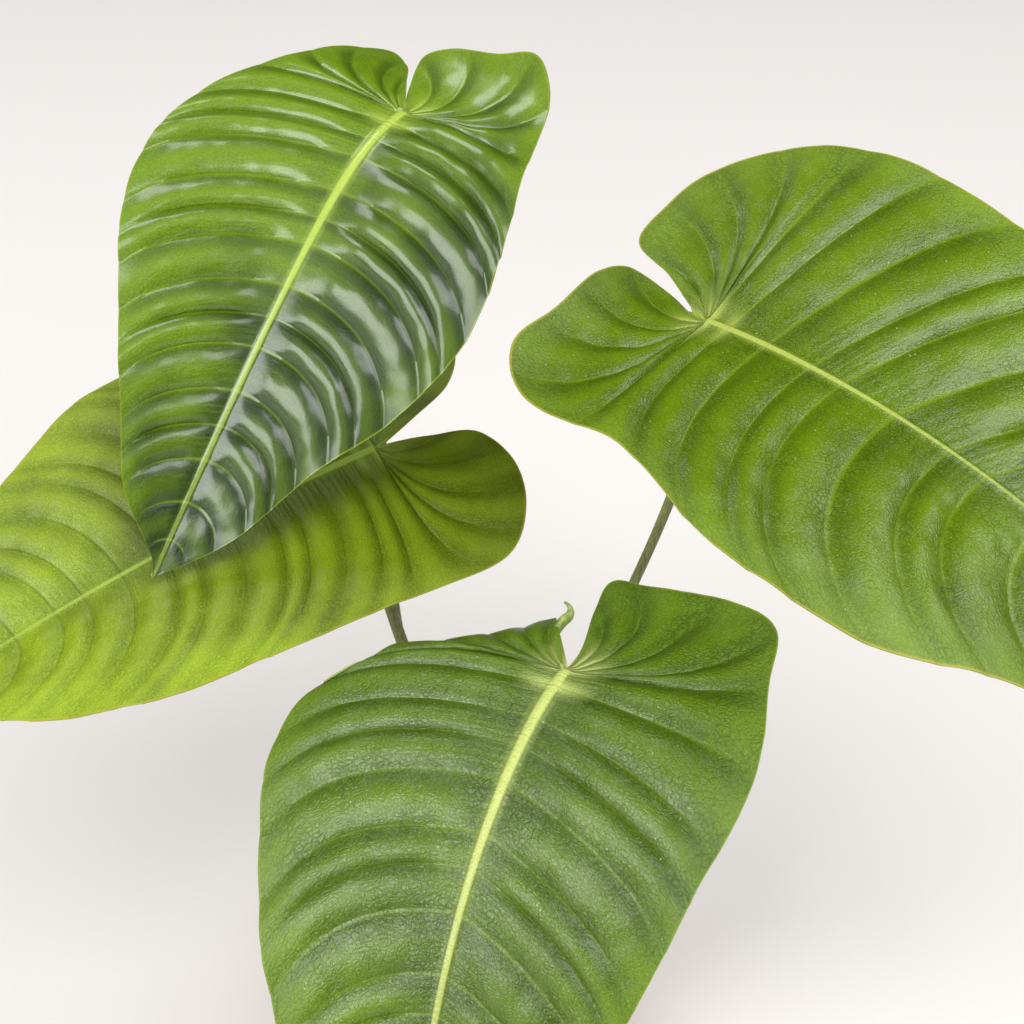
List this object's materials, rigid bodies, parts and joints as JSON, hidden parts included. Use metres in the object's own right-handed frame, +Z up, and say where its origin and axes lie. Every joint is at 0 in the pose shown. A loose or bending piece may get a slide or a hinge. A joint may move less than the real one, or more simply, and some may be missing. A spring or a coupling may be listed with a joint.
{
  "type": "potted king anthurium",
  "caption": "Potted king anthurium with long heart-based quilted leaves on arching petioles, a short crown in bark mix, and a plain clay pot that stands on its foot.",
  "frame": {"origin": "centre of the pot's foot, on the surface it stands on", "axes": "+Z up, -Y towards the viewer of the picture, +X to the viewer's right"},
  "size_m": [0.7904, 0.5459, 0.6949],
  "materials": {
    "terracotta": "matt unglazed clay",
    "bark_mix": "rough, damp bark chips",
    "crown_bark": "rough, with papery bracts",
    "petiole": "smooth satin, olive green",
    "leaf_glossy": "wet-looking gloss, dark green",
    "leaf_lime": "satin, yellow green",
    "leaf_satin": "satin, mid green",
    "leaf_deep": "satin with a grey sheen, deep green"
  },
  "bodies": {
    "root": {"pot": "terracotta", "potting_mix": "bark_mix", "crown": "crown_bark", "petiole_1": "petiole", "petiole_2": "petiole", "petiole_3": "petiole", "petiole_4": "petiole", "blade_1": "leaf_glossy", "blade_2": "leaf_lime", "blade_3": "leaf_satin", "blade_4": "leaf_deep"}
  },
  "joints": []
}
